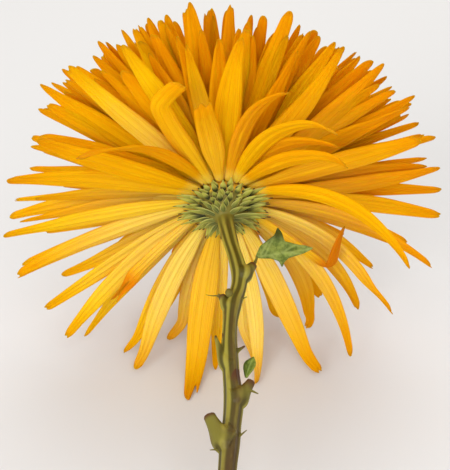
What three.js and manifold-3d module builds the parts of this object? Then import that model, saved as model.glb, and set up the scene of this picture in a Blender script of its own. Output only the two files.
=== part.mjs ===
// A cut chrysanthemum lying on a flat surface. It rests on the cut end of its stem and on the
// florets under its head, with its face turned away along +Y and its stem coming back along -Y.
// Units are millimetres, +Z is up, and the origin is under the middle of the whole flower.
import * as THREE from "three";
import { mergeVertices } from "three/addons/utils/BufferGeometryUtils.js";
import Module from "manifold-3d";

const wasm = await Module();
wasm.setup();

// ---------------------------------------------------------------- driving dimensions
const STEM_LENGTH = 150; // from the rim of the receptacle to the cut
const HEAD_HEIGHT = 52; // of the rim's centre over the surface
const NECK_RADIUS = 1.7; // of the stem where it leaves the receptacle
const CUT_RADIUS = 2.4; // of the stem at its cut end

const RIM_RADIUS = 7.6; // of the receptacle, the swollen top of the stem
const DOME_HEIGHT = 5; // of the receptacle in front of its rim
const FLARE_DEPTH = 6; // of the receptacle behind its rim

const CLEARANCE = 0.3; // between pieces that only touch
const BRACT_THICKNESS = 0.45;
const LEAF_THICKNESS = 0.5;
const LEAF_LENGTH = 16.5;

const FLORET_LENGTH = 53;
const FLORET_WIDTH = 6.9;
const FLORET_THICKNESS = 0.5;
const FLORET_CUP = 0.9; // how far a floret's margins stand up out of its middle
const CLAW_WIDTH = 1.7; // the narrow foot of a floret
const WIDEST_AT = 0.7; // share of its length by which a floret has its full width
const TIP_FROM = 0.75; // share of its length from which its tip rounds off
const TIP_ROUNDING = 0.93; // at 1 the tip would close to a point
const BEND_HEIGHT = 7; // a floret starts to give way this far above where it would lie
const DROOP_START = 10; // this far under the rim's centre, florets begin to be pressed
const DROOP_ROOM = 42; // and this is the room under there that their habits are given for
const GOLDEN_ANGLE = 137.508; // between one floret of the heart and the next

// ---------------------------------------------------------------- how the flower lies
const rad = THREE.MathUtils.degToRad;
const smooth = THREE.MathUtils.smoothstep;
const tilt = Math.asin((HEAD_HEIGHT - CUT_RADIUS) / STEM_LENGTH);
const SIDE = new THREE.Vector3(1, 0, 0);
const FACE = new THREE.Vector3(0, Math.cos(tilt), Math.sin(tilt)); // out of the flower's face
const RISE = new THREE.Vector3(0, -Math.sin(tilt), Math.cos(tilt)); // across the head, upwards
const HEAD = new THREE.Vector3(0, 0, HEAD_HEIGHT); // the middle of the rim

// A direction that leans so many degrees from the flower's axis. Its azimuth is counted from
// the right, anticlockwise, as the flower is seen from behind.
function direction(azimuth, lean) {
  const a = rad(azimuth);
  const l = rad(lean);
  return FACE.clone()
    .multiplyScalar(Math.cos(l))
    .addScaledVector(SIDE, Math.sin(l) * Math.cos(a))
    .addScaledVector(RISE, Math.sin(l) * Math.sin(a));
}

// A place on the head, so far out from the axis and so far in front of the rim.
function headPoint(azimuth, radius, forward) {
  return HEAD.clone()
    .addScaledVector(direction(azimuth, 90), radius)
    .addScaledVector(FACE, forward);
}

// The dome of the receptacle is an ellipse, measured in degrees from its rim to its top.
function domeProfile(angle, offset) {
  const a = rad(angle);
  const outward = new THREE.Vector2(DOME_HEIGHT * Math.cos(a), RIM_RADIUS * Math.sin(a));
  outward.normalize();
  return new THREE.Vector2(RIM_RADIUS * Math.cos(a), DOME_HEIGHT * Math.sin(a))
    .addScaledVector(outward, offset);
}

// The radius of the receptacle so far behind its rim, down to the neck.
function flareRadius(depth) {
  const share = Math.min(depth / FLARE_DEPTH, 1);
  return NECK_RADIUS + (RIM_RADIUS - NECK_RADIUS) * (1 - share ** 1.8) ** 0.8;
}

// ---------------------------------------------------------------- solids
// Merges the vertices that share a place and drops the triangles that have no area.
function sewn(geometry) {
  const bare = geometry.clone();
  for (const name of Object.keys(bare.attributes)) {
    if (name !== "position") bare.deleteAttribute(name);
  }
  const merged = mergeVertices(bare, 1e-4);
  const corners = Array.from(merged.index.array);
  const kept = [];
  for (let i = 0; i < corners.length; i += 3) {
    const [a, b, c] = corners.slice(i, i + 3);
    if (a !== b && b !== c && c !== a) kept.push(a, b, c);
  }
  return merged.setIndex(kept);
}

function solid(geometry) {
  const { attributes, index } = sewn(geometry);
  return new wasm.Manifold(
    new wasm.Mesh({
      numProp: 3,
      vertProperties: new Float32Array(attributes.position.array),
      triVerts: new Uint32Array(index.array),
    }),
  );
}

function joined(geometries) {
  const [first, ...rest] = geometries.map(solid);
  const mesh = rest.reduce((whole, next) => whole.add(next), first).getMesh();
  const geometry = new THREE.BufferGeometry();
  geometry.setAttribute("position", new THREE.BufferAttribute(mesh.vertProperties, 3));
  geometry.setIndex(new THREE.BufferAttribute(mesh.triVerts, 1));
  geometry.computeVertexNormals();
  return geometry;
}

// Lays a shape that was turned about its own Y axis along the flower's axis.
function alongFlower(geometry) {
  const frame = new THREE.Matrix4().makeBasis(SIDE, FACE, SIDE.clone().cross(FACE));
  return sewn(geometry).applyMatrix4(frame.setPosition(HEAD));
}

// ---------------------------------------------------------------- blades
const PATH_STEPS = 48;

// The height at which a floret lies before it is pressed.
const REST_HEIGHT = HEAD_HEIGHT - DROOP_START - DROOP_ROOM + FLORET_THICKNESS;

// What hangs under the head is pressed into the room that the head's height leaves for it.
function pressed(z) {
  const hanging = Math.max(HEAD_HEIGHT - DROOP_START - z, 0);
  return z + hanging * (1 - (HEAD_HEIGHT - DROOP_START) / DROOP_ROOM);
}

// The line down the middle of a blade, with the direction across it at each station. The lean
// and the azimuth change along it, and near the surface it gives way and lies down.
function bladePath({ base, azimuth, lean, bow = 0, sweep = 0, length }) {
  const step = length / PATH_STEPS;
  const at = base.clone();
  const across = FACE.clone().cross(direction(azimuth, lean)).normalize();
  const stations = [];
  for (let i = 0; i <= PATH_STEPS; i++) {
    const s = i / PATH_STEPS;
    const tangent = direction(azimuth + sweep * (s * s - 1 / 3), lean + bow * (2 * s - 1));
    const height = at.z - REST_HEIGHT;
    const fall = Math.max(height, 0) / BEND_HEIGHT;
    if (tangent.z < -fall) {
      const keep = Math.sqrt(Math.max(1 - fall * fall, 0)) / Math.hypot(tangent.x, tangent.y);
      tangent.set(tangent.x * keep, tangent.y * keep, -fall);
    }
    across.z *= smooth(height, -BEND_HEIGHT, BEND_HEIGHT);
    across.addScaledVector(tangent, -across.dot(tangent)).normalize();
    const side = across.clone();
    stations.push({ point: at.clone(), side, normal: tangent.clone().cross(side) });
    at.addScaledVector(tangent, step);
  }
  return stations;
}

// A thin closed blade from a box: x runs across it, y through it and z along it.
function blade({ stations, along, across, halfWidth, thickness, cup }) {
  const blank = new THREE.BoxGeometry(2, 2, 1, across, 1, along);
  const position = blank.getAttribute("position");
  const v = new THREE.Vector3();
  for (let i = 0; i < position.count; i++) {
    v.fromBufferAttribute(position, i);
    const s = v.z + 0.5;
    const { point, side, normal } = stations[Math.round(s * PATH_STEPS)];
    const wide = halfWidth(s);
    const through = cup * wide * v.x * v.x + v.y * thickness * (0.5 - 0.2 * Math.abs(v.x));
    const placed = point.clone().addScaledVector(side, v.x * wide);
    placed.addScaledVector(normal, through);
    position.setXYZ(i, placed.x, placed.y, pressed(placed.z));
  }
  return blank;
}

// A floret is narrow at its claw, widest past its middle and blunt at its tip.
function floret({ along, across, width, ...shape }) {
  const claw = CLAW_WIDTH / 2;
  const halfWidth = (s) => {
    const body = claw + (width / 2 - claw) * smooth(s, 0, WIDEST_AT);
    const tip = Math.sqrt(1 - TIP_ROUNDING * (Math.max(s - TIP_FROM, 0) / (1 - TIP_FROM)) ** 2);
    return body * tip;
  };
  return blade({
    stations: bladePath(shape),
    along,
    across,
    halfWidth,
    thickness: FLORET_THICKNESS,
    cup: FLORET_CUP / (FLORET_WIDTH / 2),
  });
}

// ---------------------------------------------------------------- the flower and its materials
const flower = new THREE.Group();

const petalYellow = new THREE.MeshStandardMaterial({ color: 0xf6a90a, roughness: 0.55 });
const heartYellow = new THREE.MeshStandardMaterial({ color: 0xf2b01c, roughness: 0.55 });
const stemGreen = new THREE.MeshStandardMaterial({ color: 0x7d7a24, roughness: 0.6 });
const bractGreen = new THREE.MeshStandardMaterial({ color: 0x76884a, roughness: 0.7 });
const leafGreen = new THREE.MeshStandardMaterial({ color: 0x6f8a2e, roughness: 0.6 });

function add(name, geometry, material) {
  const mesh = new THREE.Mesh(geometry, material);
  mesh.name = name;
  flower.add(mesh);
}

// ---------------------------------------------------------------- separate florets
// Three rows stand on the shoulder of the receptacle. Each floret has its own habit: azimuth
// and lean in degrees, shares of the full length and width, then the bow and the sweep in
// degrees.
const ROWS = [
  {
    name: "outer_floret",
    domeAngle: 4,
    habits: [
      [9, 130, 1.06, 0.9, 28, -42],
      [50, 119, 0.9, 0.85, 16, -16],
      [54, 110, 0.93, 0.9, 22, -44],
      [69, 101, 0.87, 0.75, 22, -34],
      [97, 101, 0.66, 0.95, 15, -4],
      [104, 96, 0.82, 0.95, 6, -27],
      [135, 117, 0.99, 0.85, 22, 28],
      [142, 103, 1, 0.95, 2, -12],
      [160, 103, 1.02, 1.1, 11, -5],
      [179, 104, 1.02, 0.85, 9, -14],
      [196, 105, 1.04, 1, 13, -4],
      [219, 111, 1.05, 0.95, 15, 2],
      [243, 119, 0.99, 0.9, 20, 9],
      [261, 129, 1.12, 1.15, 24, 8],
      [278, 122, 1.03, 0.75, 18, -22],
      [300, 120, 1.03, 1, 18, 5],
      [308, 116, 1.05, 0.9, 28, -36],
      [323, 111, 1.02, 0.8, 30, -38],
    ],
  },
  {
    name: "middle_floret",
    domeAngle: 17,
    habits: [
      [11, 89, 1, 0.95, 0, 22],
      [33, 100, 1, 1.05, 5, 16],
      [50, 86, 1.03, 1, 0, 18],
      [61, 88, 1, 0.95, 0, 12],
      [85, 92, 0.98, 1.1, 8, -12],
      [115, 88, 0.99, 1.05, 4, -2],
      [128, 91, 1.05, 0.9, 1, -6],
      [152, 92, 0.9, 0.95, 4, 0],
      [189, 89, 1.03, 0.95, 10, 6],
      [200, 96, 1.05, 0.9, 7, -9],
      [210, 106, 1.05, 0.8, 10, -16],
      [228, 104, 1.07, 0.8, 12, 2],
      [240, 111, 1, 0.85, 17, 2],
      [257, 104, 0.9, 0.85, 11, 15],
      [268, 113, 0.98, 0.75, 8, 4],
      [276, 110, 0.98, 0.75, 8, -10],
      [294, 98, 0.98, 0.85, 14, -46],
      [312, 98, 0.98, 0.8, 12, -34],
      [342, 101, 1.07, 0.8, 17, -18],
    ],
  },
  {
    name: "inner_floret",
    domeAngle: 30,
    habits: [
      [14, 81, 1.02, 0.95, 2, 0],
      [35, 86, 1.02, 1, 0, 10],
      [74, 80, 1.02, 0.95, 2, 0],
      [98, 78, 1.02, 0.95, 2, 0],
      [141, 86, 1.03, 0.95, 0, -10],
      [166, 82, 0.86, 0.95, 2, 0],
      [213, 93, 0.97, 0.8, 2, -14],
      [233, 93, 0.86, 0.8, 5, 6],
      [285, 98, 0.93, 0.85, 10, -22],
      [322, 87, 0.96, 0.85, 14, -5],
      [337, 88, 0.98, 0.85, 8, -8],
      [355, 93, 1.04, 0.85, 9, 4],
    ],
  },
];

for (const { name, domeAngle, habits } of ROWS) {
  const seat = domeProfile(domeAngle, CLEARANCE + FLORET_THICKNESS / 2);
  habits.forEach(([azimuth, lean, long, wide, bow, sweep], index) => {
    const geometry = floret({
      base: headPoint(azimuth - sweep / 3, seat.x, seat.y),
      azimuth,
      lean,
      bow,
      sweep,
      length: long * FLORET_LENGTH,
      width: wide * FLORET_WIDTH,
      along: 8,
      across: 2,
    });
    add(`${name}_${String(index + 1).padStart(2, "0")}`, geometry, petalYellow);
  });
}

// ---------------------------------------------------------------- the heart
// Whorls of florets that close over the top of the dome. Each whorl grows out of a ring of its
// own, and the last one out of a button.
const HUB_HEIGHT = 0.8;
const HUB_HALF_ANGLE = 3.6;
const WHORL_SPREAD = 8; // of the lean inside a whorl, in degrees
const WHORLS = [
  { domeAngle: 43, lean: 67, length: 50, width: 7, bow: 2, count: 18, along: 6 },
  { domeAngle: 54, lean: 53, length: 47, width: 6.6, bow: 0, count: 16, along: 5 },
  { domeAngle: 65, lean: 39, length: 43, width: 6.2, bow: -4, count: 14, along: 5 },
  { domeAngle: 75.5, lean: 25, length: 36, width: 5.6, bow: -6, count: 11, along: 4 },
  { domeAngle: 86, lean: 11, length: 26, width: 4.6, bow: -6, count: 7, along: 4 },
];

function hub(domeAngle, isLast) {
  const low = domeAngle - HUB_HALF_ANGLE;
  const high = isLast ? 90 : domeAngle + HUB_HALF_ANGLE;
  const lowIn = domeProfile(low, CLEARANCE);
  const lowOut = domeProfile(low, CLEARANCE + HUB_HEIGHT);
  const highIn = domeProfile(high, CLEARANCE);
  const highOut = domeProfile(high, CLEARANCE + HUB_HEIGHT);
  if (isLast) {
    highIn.x = 0;
    highOut.x = 0;
  }
  const profile = [highIn, lowIn, lowOut, highOut];
  if (!isLast) profile.push(highIn.clone());
  return alongFlower(new THREE.LatheGeometry(profile, 20));
}

let heartCount = 0;
WHORLS.forEach((whorl, index) => {
  const isLast = index === WHORLS.length - 1;
  const seat = domeProfile(whorl.domeAngle, CLEARANCE + HUB_HEIGHT / 2);
  const pieces = [hub(whorl.domeAngle, isLast)];
  for (let i = 0; i < whorl.count; i++) {
    const azimuth = heartCount * GOLDEN_ANGLE;
    const later = i / (whorl.count - 1) - 0.5;
    pieces.push(
      floret({
        base: headPoint(azimuth, seat.x, seat.y),
        azimuth,
        lean: whorl.lean - WHORL_SPREAD * later,
        bow: whorl.bow,
        length: whorl.length * (1 - 0.06 * later),
        width: whorl.width,
        along: whorl.along,
        across: 1,
      }),
    );
    heartCount += 1;
  }
  add(`heart_whorl_${index + 1}`, joined(pieces), heartYellow);
});

// ---------------------------------------------------------------- the involucre
// Three rows of green bracts under the head. Each row grows out of a collar round the receptacle.
const COLLAR_HEIGHT = 0.8;
const COLLAR_WALL = 0.7;
const COLLAR_GAP = 1.4 * CLEARANCE; // the flare slants, so this keeps the clearance square to it
const BRACT_ROWS = [
  { name: "inner_bracts", depth: 1.5, lean: 91, bow: 5, length: 4.2, width: 2.7, count: 14 },
  { name: "middle_bracts", depth: 3, lean: 87, bow: 8, length: 4.8, width: 2.5, count: 14 },
  { name: "outer_bracts", depth: 4.4, lean: 80, bow: 12, length: 4.6, width: 2.2, count: 11 },
];

const BRACT_CUP = 0.2;

// A bract is widest before its middle and runs out into a narrow tip.
function bractOutline(s) {
  return (0.75 + 0.25 * smooth(s, 0, 0.4)) * (1 - 0.85 * smooth(s, 0.45, 1));
}

function collar(depth) {
  const below = depth + COLLAR_HEIGHT / 2;
  const above = depth - COLLAR_HEIGHT / 2;
  const profile = [
    new THREE.Vector2(flareRadius(below) + COLLAR_GAP, -below),
    new THREE.Vector2(flareRadius(below) + COLLAR_GAP + COLLAR_WALL, -below),
    new THREE.Vector2(flareRadius(above) + COLLAR_GAP + COLLAR_WALL, -above),
    new THREE.Vector2(flareRadius(above) + COLLAR_GAP, -above),
  ];
  profile.push(profile[0].clone());
  return alongFlower(new THREE.LatheGeometry(profile, 20));
}

BRACT_ROWS.forEach(({ name, depth, lean, bow, length, width, count }, row) => {
  const pieces = [collar(depth)];
  for (let i = 0; i < count; i++) {
    const azimuth = ((i + row / 3) * 360) / count;
    const root = flareRadius(depth) + COLLAR_GAP + COLLAR_WALL / 2;
    pieces.push(
      blade({
        stations: bladePath({
          base: headPoint(azimuth, root, -depth),
          azimuth,
          lean,
          bow,
          length,
        }),
        along: 3,
        across: 2,
        halfWidth: (s) => (width / 2) * bractOutline(s),
        thickness: BRACT_THICKNESS,
        cup: BRACT_CUP,
      }),
    );
  }
  add(name, joined(pieces), bractGreen);
});

// ---------------------------------------------------------------- the stem
// It wanders a little from node to node: [distance from the rim, to the right, upwards].
const STEM_COURSE = [
  [0, 0, 0],
  [6, 0.4, 0],
  [15, 1.9, 0.2],
  [21, 3.3, 0.3],
  [26, 4.2, 0],
  [31, 3.7, -0.3],
  [36, 2.2, -0.2],
  [47, 1.4, 0],
  [58, 1.7, 0.2],
  [66, 2.3, 0.2],
  [75, 1.6, -0.2],
  [84, 0.8, -0.3],
  [96, 0.2, 0],
  [110, 0.9, 0.3],
  [122, 1.3, 0.1],
  [136, 0.4, 0],
  [STEM_LENGTH, 0, 0],
];
// Nodes are a little thicker: [distance from the rim, swelling, half its length].
const STEM_NODES = [
  [25, 0.4, 5],
  [36, 0.55, 4],
  [53, 0.2, 5],
  [66, 0.45, 6],
  [78, 0.3, 5],
  [104, 0.4, 6],
  [126, 0.35, 6],
];
const STEM_SIDES = 12;
const STUB_SIDES = 7;
const RING_SPACING = 4;

const stemCurve = new THREE.CatmullRomCurve3(
  STEM_COURSE.map(([along, right, up]) =>
    HEAD.clone()
      .addScaledVector(FACE, -along)
      .addScaledVector(SIDE, right)
      .addScaledVector(RISE, up),
  ),
);

function stemRadius(along) {
  const plain = THREE.MathUtils.lerp(NECK_RADIUS, CUT_RADIUS, smooth(along, 20, STEM_LENGTH));
  const swellings = STEM_NODES.map(([at, swell, half]) => swell * Math.exp(-(((along - at) / half) ** 2)));
  return swellings.reduce((sum, swell) => sum + swell, plain);
}

const stemPoint = (along) => stemCurve.getPointAt(along / STEM_LENGTH);

// A round body through rings, each with a centre, a radius and the axis that it stands across,
// which points from the last ring towards the first. The reference is any way across the body.
function roundBody(rings, sides, reference) {
  const blank = new THREE.CylinderGeometry(1, 1, 1, sides, rings.length - 1);
  const position = blank.getAttribute("position");
  const v = new THREE.Vector3();
  for (let i = 0; i < position.count; i++) {
    v.fromBufferAttribute(position, i);
    const { centre, axis, radius } = rings[Math.round((0.5 - v.y) * (rings.length - 1))];
    const right = reference.clone().addScaledVector(axis, -reference.dot(axis)).normalize();
    const up = right.clone().cross(axis);
    const at = centre.clone().addScaledVector(right, v.x * radius).addScaledVector(up, v.z * radius);
    position.setXYZ(i, at.x, at.y, at.z);
  }
  return sewn(blank);
}

function stemRings() {
  const rings = [];
  for (const angle of [72, 54, 36, 18]) {
    const { x, y } = domeProfile(angle, 0);
    rings.push({ centre: headPoint(0, 0, y), axis: FACE, radius: x });
  }
  for (let i = 0; i < 6; i++) {
    const depth = (i * FLARE_DEPTH) / 6;
    rings.push({ centre: headPoint(0, 0, -depth), axis: FACE, radius: flareRadius(depth) });
  }
  const count = Math.round((STEM_LENGTH - FLARE_DEPTH) / RING_SPACING);
  for (let i = 0; i <= count; i++) {
    const along = THREE.MathUtils.lerp(FLARE_DEPTH, STEM_LENGTH, i / count);
    const u = along / STEM_LENGTH;
    rings.push({
      centre: stemPoint(along),
      axis: stemCurve.getTangentAt(u).negate(),
      radius: stemRadius(along),
    });
  }
  return rings;
}

// What is left of side shoots and leaf stalks that were broken or cut off. Each stub starts in
// the middle of the stem: where along it, at what azimuth, the reach out of the middle, how far
// it climbs towards the head, and its radius at the foot and at the end.
const STUBS = [
  { along: 28, azimuth: 8, reach: 4, climb: 2.2, foot: 1.5, end: 0.9 },
  { along: 37, azimuth: 168, reach: 3.2, climb: 4, foot: 1.5, end: 0.8 },
  { along: 55, azimuth: 172, reach: 3.8, climb: 9, foot: 1.2, end: 0.5 },
  { along: 53, azimuth: 12, reach: 4, climb: 1.4, foot: 0.6, end: 0.35 },
  { along: 67, azimuth: 14, reach: 4.6, climb: 4, foot: 1.6, end: 1 },
  { along: 79, azimuth: 165, reach: 5.4, climb: 5.5, foot: 1.8, end: 1.4 },
  { along: 106, azimuth: 25, reach: 4.6, climb: 3.4, foot: 1.6, end: 1.1 },
  { along: 128, azimuth: 158, reach: 4.4, climb: 3.2, foot: 1.6, end: 1.1 },
];

function stubRings({ along, azimuth, reach, climb, foot, end }) {
  const root = stemPoint(along);
  const out = direction(azimuth, 90);
  return [0, 0.35, 0.7, 1].map((s) => ({
    centre: root
      .clone()
      .addScaledVector(out, reach * s ** 0.8)
      .addScaledVector(FACE, climb * s ** 1.3),
    axis: out
      .clone()
      .multiplyScalar(-reach)
      .addScaledVector(FACE, -climb * s)
      .normalize(),
    radius: THREE.MathUtils.lerp(foot, end, s),
  }));
}

const stubs = STUBS.map((habit) => roundBody(stubRings(habit), STUB_SIDES, RISE));
add("stem", joined([roundBody(stemRings(), STEM_SIDES, SIDE), ...stubs]), stemGreen);

// ---------------------------------------------------------------- leaves
// A leaf is cut from a flat sheet along its outline: its own X runs from its foot to its tip,
// its Y across it, and its Z out of its upper face.
function leafSheet(outline, bend) {
  const shape = new THREE.Shape(outline.map(([x, y]) => new THREE.Vector2(x, y)));
  const sheet = new THREE.ExtrudeGeometry(shape, {
    depth: LEAF_THICKNESS,
    bevelEnabled: false,
    steps: 1,
  });
  const position = sheet.getAttribute("position");
  for (let i = 0; i < position.count; i++) {
    const y = position.getY(i);
    position.setZ(i, position.getZ(i) + bend * y * y);
  }
  return sewn(sheet);
}

function placed(geometry, foot, along, upper) {
  const x = along.clone().normalize();
  const z = upper.clone().addScaledVector(x, -upper.dot(x)).normalize();
  const frame = new THREE.Matrix4().makeBasis(x, z.clone().cross(x), z);
  return geometry.applyMatrix4(frame.setPosition(foot));
}

const lookBack = direction(90, 118); // out of the back of the head and upwards

// The one leaf that is left under the head, with its short stalk.
const LEAF_OUTLINE = [
  [0, 0.5],
  [1, 3.2],
  [3.2, 5],
  [6, 8],
  [7.6, 5.2],
  [11, 4],
  [LEAF_LENGTH - 1.2, 2],
  [12, 0.5],
  [9, -0.4],
  [7, -3],
  [5.3, -1],
  [2.5, -1],
  [0, -0.5],
];
const LEAF_CLIMB = 8; // from its node, up the stem, to the leaf's foot
const STALK_LENGTH = 1.4;
const STALK_RADIUS = 0.4;
const STALK_ROOT = 0.8; // of the stalk inside the leaf
const LEAF_BEND = 0.03;
const leafNode = STUBS[0];
const leafFoot = stemPoint(leafNode.along - LEAF_CLIMB);
leafFoot.addScaledVector(SIDE, leafNode.reach + STALK_LENGTH);
const stalkFoot = stemPoint(leafNode.along - leafNode.climb - CLEARANCE);
stalkFoot.addScaledVector(direction(leafNode.azimuth, 90), leafNode.reach + leafNode.end + CLEARANCE);
const stalkAxis = stalkFoot.clone().sub(leafFoot).normalize();
const stalk = roundBody(
  [
    {
      centre: leafFoot.clone().addScaledVector(stalkAxis, -STALK_ROOT),
      axis: stalkAxis.clone().negate(),
      radius: STALK_RADIUS,
    },
    { centre: stalkFoot, axis: stalkAxis.clone().negate(), radius: STALK_RADIUS },
  ],
  6,
  SIDE,
);
const leafSide = direction(355, 85);
const leafBlade = placed(leafSheet(LEAF_OUTLINE, LEAF_BEND), leafFoot, leafSide, lookBack);
add("leaf", joined([leafBlade, stalk]), leafGreen);

// A small folded leaf on the broken side shoot.
const SIDE_LEAF_BEND = 0.12;
const SIDE_LEAF_OUTLINE = [
  [0, 0.4],
  [1.2, 1.2],
  [3, 1.4],
  [5.8, 0],
  [3.4, -1.3],
  [1.2, -1],
  [0, -0.4],
];
const shoot = STUBS[4];
const sideLeafFoot = stemPoint(shoot.along - shoot.climb - shoot.end - CLEARANCE);
sideLeafFoot.addScaledVector(direction(shoot.azimuth, 90), shoot.reach);
const sideLeafAlong = direction(60, 22);
add(
  "side_leaf",
  placed(leafSheet(SIDE_LEAF_OUTLINE, SIDE_LEAF_BEND), sideLeafFoot, sideLeafAlong, lookBack),
  leafGreen,
);

// The flower is moved so that the middle of its footprint is the origin.
const box = new THREE.Box3().setFromObject(flower, true);
const middle = box.getCenter(new THREE.Vector3());
flower.position.set(-middle.x, -middle.y, -box.min.z);

export default flower;
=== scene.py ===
# A cut chrysanthemum lying on a pale table, seen from behind its head and a little from above.
# Lengths are metres. MM turns the millimetres that a grower would use into metres.
import math

import bmesh
import bpy
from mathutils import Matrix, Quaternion, Vector, noise


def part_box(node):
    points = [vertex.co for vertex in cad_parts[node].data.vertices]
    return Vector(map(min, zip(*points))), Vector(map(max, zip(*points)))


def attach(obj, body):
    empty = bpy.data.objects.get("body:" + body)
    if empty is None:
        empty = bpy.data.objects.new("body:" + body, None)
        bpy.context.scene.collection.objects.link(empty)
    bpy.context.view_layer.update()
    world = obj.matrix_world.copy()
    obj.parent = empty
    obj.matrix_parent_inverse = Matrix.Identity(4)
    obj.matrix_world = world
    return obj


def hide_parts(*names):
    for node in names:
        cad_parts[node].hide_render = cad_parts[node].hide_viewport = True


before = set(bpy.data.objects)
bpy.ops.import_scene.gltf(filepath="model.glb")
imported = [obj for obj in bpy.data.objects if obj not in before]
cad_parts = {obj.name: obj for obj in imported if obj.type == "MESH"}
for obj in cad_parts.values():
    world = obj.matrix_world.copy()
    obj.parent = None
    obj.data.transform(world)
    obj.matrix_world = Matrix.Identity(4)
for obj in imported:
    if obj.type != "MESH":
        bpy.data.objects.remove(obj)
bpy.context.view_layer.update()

MM = 0.001
GOLDEN_ANGLE = 137.508

# ---------------------------------------------------------------- how the flower lies
STEM_LENGTH = 150 * MM
HEAD_HEIGHT = 52 * MM
CUT_RADIUS = 2.4 * MM
NECK_RADIUS = 1.7 * MM
RIM_RADIUS = 7.6 * MM
DOME_HEIGHT = 5 * MM
FLARE_DEPTH = 6 * MM

TILT = math.asin((HEAD_HEIGHT - CUT_RADIUS) / STEM_LENGTH)
SIDE = Vector((1, 0, 0))
FACE = Vector((0, math.cos(TILT), math.sin(TILT)))
RISE = Vector((0, -math.sin(TILT), math.cos(TILT)))

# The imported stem's box places the head: its lowest Y is the cut end, which is on the table.
stem_low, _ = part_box("stem")
HEAD_ASIDE = -0.04 * MM
HEAD = Vector(
    (
        HEAD_ASIDE,
        stem_low.y + STEM_LENGTH * FACE.y + CUT_RADIUS * FACE.z,
        stem_low.z + STEM_LENGTH * FACE.z + CUT_RADIUS * FACE.y,
    )
)


def direction(azimuth, lean):
    """Leans so many degrees from the flower's axis, at an azimuth counted from the right."""
    a = math.radians(azimuth)
    b = math.radians(lean)
    across = SIDE * math.cos(a) + RISE * math.sin(a)
    return FACE * math.cos(b) + across * math.sin(b)


def head_point(azimuth, radius, forward):
    return HEAD + direction(azimuth, 90) * radius + FACE * forward


def smooth(x, low, high):
    t = min(max((x - low) / (high - low), 0), 1)
    return t * t * (3 - 2 * t)


def mix(a, b, t):
    return a + (b - a) * t


def hill(x, top, half_width):
    """1 at the top, and fading away on both sides of it."""
    return math.exp(-(((x - top) / half_width) ** 2))


def chance(index, salt):
    """A steady number from -1 to 1 for one small irregularity of one piece."""
    return 2 * ((math.sin(index * 12.9898 + salt * 78.233) * 43758.5453) % 1.0) - 1


def dome_seat(angle, offset):
    """Radius and forward distance of a place on the receptacle's dome."""
    a = math.radians(angle)
    outward = Vector((DOME_HEIGHT * math.cos(a), RIM_RADIUS * math.sin(a))).normalized()
    return Vector((RIM_RADIUS * math.cos(a), DOME_HEIGHT * math.sin(a))) + outward * offset


def flare_radius(depth):
    share = min(max(depth, 0) / FLARE_DEPTH, 1)
    return NECK_RADIUS + (RIM_RADIUS - NECK_RADIUS) * (1 - share**1.8) ** 0.8


# ---------------------------------------------------------------- camera and light
CAMERA_DISTANCE = 360 * MM
CAMERA_DOWN = math.radians(28)
CAMERA_NOD = math.radians(1.42)  # the head sits a little above the middle of the view
CAMERA_TURN = math.radians(0.05)
LENS = 98.8
SENSOR_WIDTH = 36
NEAREST_SEEN = 10 * MM
# Each light of the studio: its place, size, power and colour. All of them face the head.
LIGHTS = {
    "window": ((-0.6, -0.95, 0.5), 0.7, 7.2, (1, 0.995, 0.98)),
    "fill": ((0.1, -0.55, 0.5), 0.4, 1.5, (1, 1, 1)),
    "backlight": ((0.1, 0.6, 0.8), 0.9, 3.4, (1, 0.92, 0.82)),
}
WORLD_COLOUR = (1, 0.985, 0.97, 1)
WORLD_STRENGTH = 0.73

look = Vector((0, math.cos(CAMERA_DOWN), -math.sin(CAMERA_DOWN)))
camera = bpy.data.objects.new("camera", bpy.data.cameras.new("camera"))
bpy.context.collection.objects.link(camera)
camera.location = HEAD - look * CAMERA_DISTANCE
camera.rotation_euler = (math.pi / 2 - CAMERA_DOWN - CAMERA_NOD, 0, -CAMERA_TURN)
camera.data.lens = LENS
camera.data.sensor_width = SENSOR_WIDTH
camera.data.clip_start = NEAREST_SEEN
bpy.context.scene.camera = camera


def area_light(name, place, size, power, colour):
    data = bpy.data.lights.new(name, "AREA")
    data.shape = "DISK"
    data.size = size
    data.energy = power
    data.color = colour
    light = bpy.data.objects.new(name, data)
    bpy.context.collection.objects.link(light)
    light.location = place
    light.rotation_euler = (HEAD - Vector(place)).to_track_quat("-Z", "Y").to_euler()


for name, settings in LIGHTS.items():
    area_light(name, *settings)

world = bpy.data.worlds.new("studio")
bpy.context.scene.world = world
world.use_nodes = True
background = world.node_tree.nodes["Background"]
background.inputs["Color"].default_value = WORLD_COLOUR
background.inputs["Strength"].default_value = WORLD_STRENGTH
bpy.context.scene.view_settings.view_transform = "Standard"


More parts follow.
